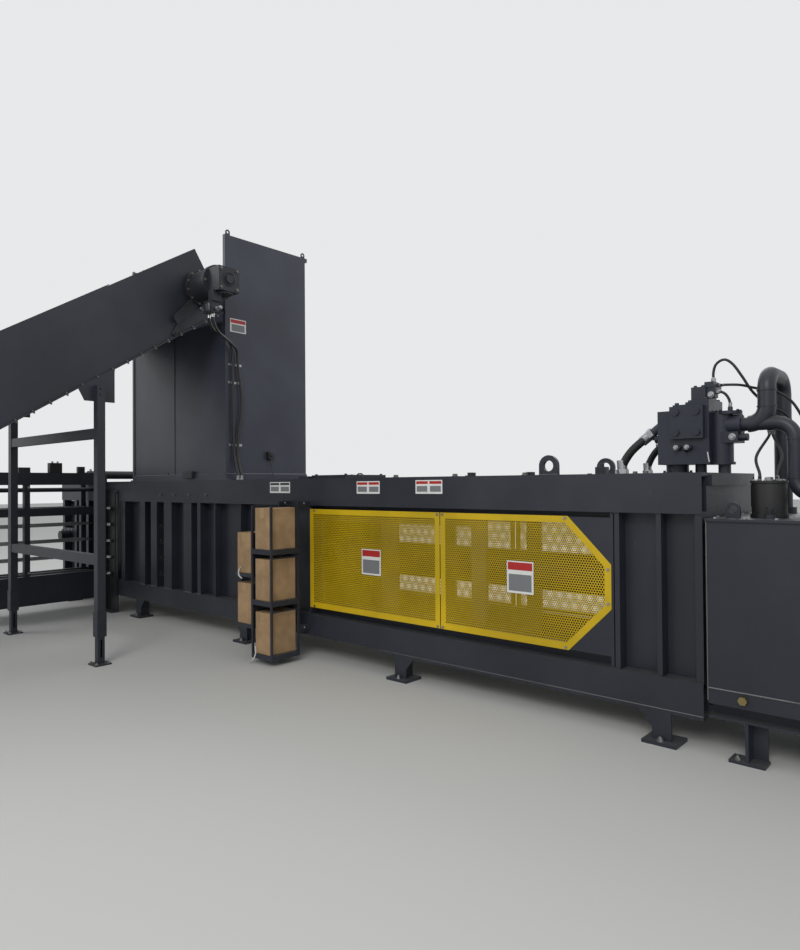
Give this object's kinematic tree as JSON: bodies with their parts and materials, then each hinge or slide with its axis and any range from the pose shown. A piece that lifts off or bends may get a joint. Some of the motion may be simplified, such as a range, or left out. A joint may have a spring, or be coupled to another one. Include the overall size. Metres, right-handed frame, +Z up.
{
  "type": "recycling baler",
  "caption": "Horizontal channel baler with a tall feed hopper, an inclined slat conveyor, a side tying unit and a hydraulic power unit.",
  "frame": {"origin": "on the floor, at the centre of the body's four end feet", "axes": "+X along the body towards the oil tank, +Y to the back, away from the conveyor, +Z up"},
  "size_m": [9.946, 8.0064, 4.0419],
  "materials": {
    "graphite_paint": "satin dark charcoal paint",
    "dark_paint": "satin near-black paint",
    "guard_yellow": "bright yellow paint",
    "bare_steel": "worn bare steel",
    "bright_steel": "bright steel",
    "black_rubber": "matt",
    "black_plastic": "matt",
    "kraft_card": "matt brown cardboard",
    "brass": "dull brass",
    "sign_white": "white plate"
  },
  "bodies": {
    "machine": {"base_frame": "graphite_paint", "feet": "graphite_paint", "chamber_floor": "bare_steel", "front_side": "graphite_paint", "back_side": "graphite_paint", "top_frame": "graphite_paint", "chamber_roof": "graphite_paint", "shear_blade": "bare_steel", "end_plate": "graphite_paint", "deck_cover": "graphite_paint", "left_guard": "guard_yellow", "right_guard": "guard_yellow", "back_guards": "guard_yellow", "guard_screws": "bare_steel", "sign_plates": "sign_white", "hopper": "graphite_paint", "hopper_sill": "graphite_paint", "main_cylinder": "dark_paint", "prefill_valve": "dark_paint", "suction_pipes": "graphite_paint", "hydraulic_hoses": "black_rubber", "tank": "graphite_paint", "tank_lid": "graphite_paint", "filter_canister": "black_plastic", "drain_plug": "brass", "tank_skid": "graphite_paint", "pump": "dark_paint", "electric_motor": "graphite_paint", "needle_frame": "graphite_paint", "needle_cylinder": "dark_paint", "twister_post": "dark_paint", "tier_cover": "graphite_paint", "guide_column": "dark_paint", "tension_cylinders": "dark_paint", "wire_rack": "graphite_paint", "wire_cartons": "kraft_card", "conveyor_frame": "graphite_paint", "conveyor_beds": "graphite_paint", "conveyor_legs": "graphite_paint", "slat_belt": "bare_steel", "belt_drive": "dark_paint"},
    "ram": {"ram_body": "bare_steel", "ram_knife": "bare_steel", "ram_rod": "bright_steel", "rod_pin": "bright_steel"},
    "needle_drive": {"needle_carriage": "dark_paint", "needles": "bright_steel", "needle_rod": "bright_steel"},
    "twister_1": {"twister_1": "bright_steel"},
    "twister_2": {"twister_2": "bright_steel"},
    "twister_3": {"twister_3": "bright_steel"},
    "twister_4": {"twister_4": "bright_steel"},
    "twister_5": {"twister_5": "bright_steel"},
    "pulleys": {"wire_pulleys": "bright_steel"},
    "head_shaft": {"head_shaft": "bare_steel"},
    "tail_shaft": {"tail_shaft": "bare_steel"},
    "front_pad": {"front_pad": "dark_paint"},
    "back_pad": {"back_pad": "dark_paint"},
    "front_pad_rod": {"front_pad_rod": "bright_steel"},
    "back_pad_rod": {"back_pad_rod": "bright_steel"}
  },
  "joints": [
    {"name": "ram_slide", "type": "slide", "parent": "machine", "child": "ram", "axis": [-1, 0, 0], "range_m": [0, 2.96]},
    {"name": "needle_slide", "type": "slide", "parent": "machine", "child": "needle_drive", "axis": [0, 1, 0], "range_m": [0, 1.06]},
    {"name": "twister_1_spin", "type": "hinge", "parent": "machine", "child": "twister_1", "pos_m": [-3.105, 0.5, 0.462], "axis": [0, 1, 0], "continuous": true},
    {"name": "twister_2_spin", "type": "hinge", "parent": "machine", "child": "twister_2", "pos_m": [-3.105, 0.5, 0.656], "axis": [0, 1, 0], "continuous": true},
    {"name": "twister_3_spin", "type": "hinge", "parent": "machine", "child": "twister_3", "pos_m": [-3.105, 0.5, 0.85], "axis": [0, 1, 0], "continuous": true},
    {"name": "twister_4_spin", "type": "hinge", "parent": "machine", "child": "twister_4", "pos_m": [-3.105, 0.5, 1.044], "axis": [0, 1, 0], "continuous": true},
    {"name": "twister_5_spin", "type": "hinge", "parent": "machine", "child": "twister_5", "pos_m": [-3.105, 0.5, 1.238], "axis": [0, 1, 0], "continuous": true},
    {"name": "pulleys_spin", "type": "hinge", "parent": "machine", "child": "pulleys", "pos_m": [-2.71, -0.571, 0.85], "axis": [0, 0, 1], "continuous": true},
    {"name": "head_shaft_spin", "type": "hinge", "parent": "machine", "child": "head_shaft", "pos_m": [-1.3, -0.80517, 3.37968], "axis": [1, 0, 0], "continuous": true},
    {"name": "tail_shaft_spin", "type": "hinge", "parent": "machine", "child": "tail_shaft", "pos_m": [-1.3, -7.09335, 0.349], "axis": [1, 0, 0], "continuous": true},
    {"name": "front_pad_swing", "type": "hinge", "parent": "machine", "child": "front_pad", "pos_m": [-3.48, -0.425, 0.85], "axis": [0, 0, -1], "range_deg": [0, 8]},
    {"name": "back_pad_swing", "type": "hinge", "parent": "machine", "child": "back_pad", "pos_m": [-3.48, 0.425, 0.85], "axis": [0, 0, 1], "range_deg": [0, 8]},
    {"name": "front_pad_rod_slide", "type": "slide", "parent": "machine", "child": "front_pad_rod", "axis": [0, 1, 0], "range_m": [0, 0.058]},
    {"name": "back_pad_rod_slide", "type": "slide", "parent": "machine", "child": "back_pad_rod", "axis": [0, -1, 0], "range_m": [0, 0.058]}
  ],
  "couplings": [
    {"joint": "twister_2_spin", "follows": "twister_1_spin", "ratio": 1},
    {"joint": "twister_3_spin", "follows": "twister_1_spin", "ratio": 1},
    {"joint": "twister_4_spin", "follows": "twister_1_spin", "ratio": 1},
    {"joint": "twister_5_spin", "follows": "twister_1_spin", "ratio": 1},
    {"joint": "tail_shaft_spin", "follows": "head_shaft_spin", "ratio": 1},
    {"joint": "back_pad_swing", "follows": "front_pad_swing", "ratio": 1},
    {"joint": "front_pad_rod_slide", "follows": "front_pad_swing", "m_per_rad": 0.405},
    {"joint": "back_pad_rod_slide", "follows": "front_pad_swing", "m_per_rad": 0.405}
  ]
}
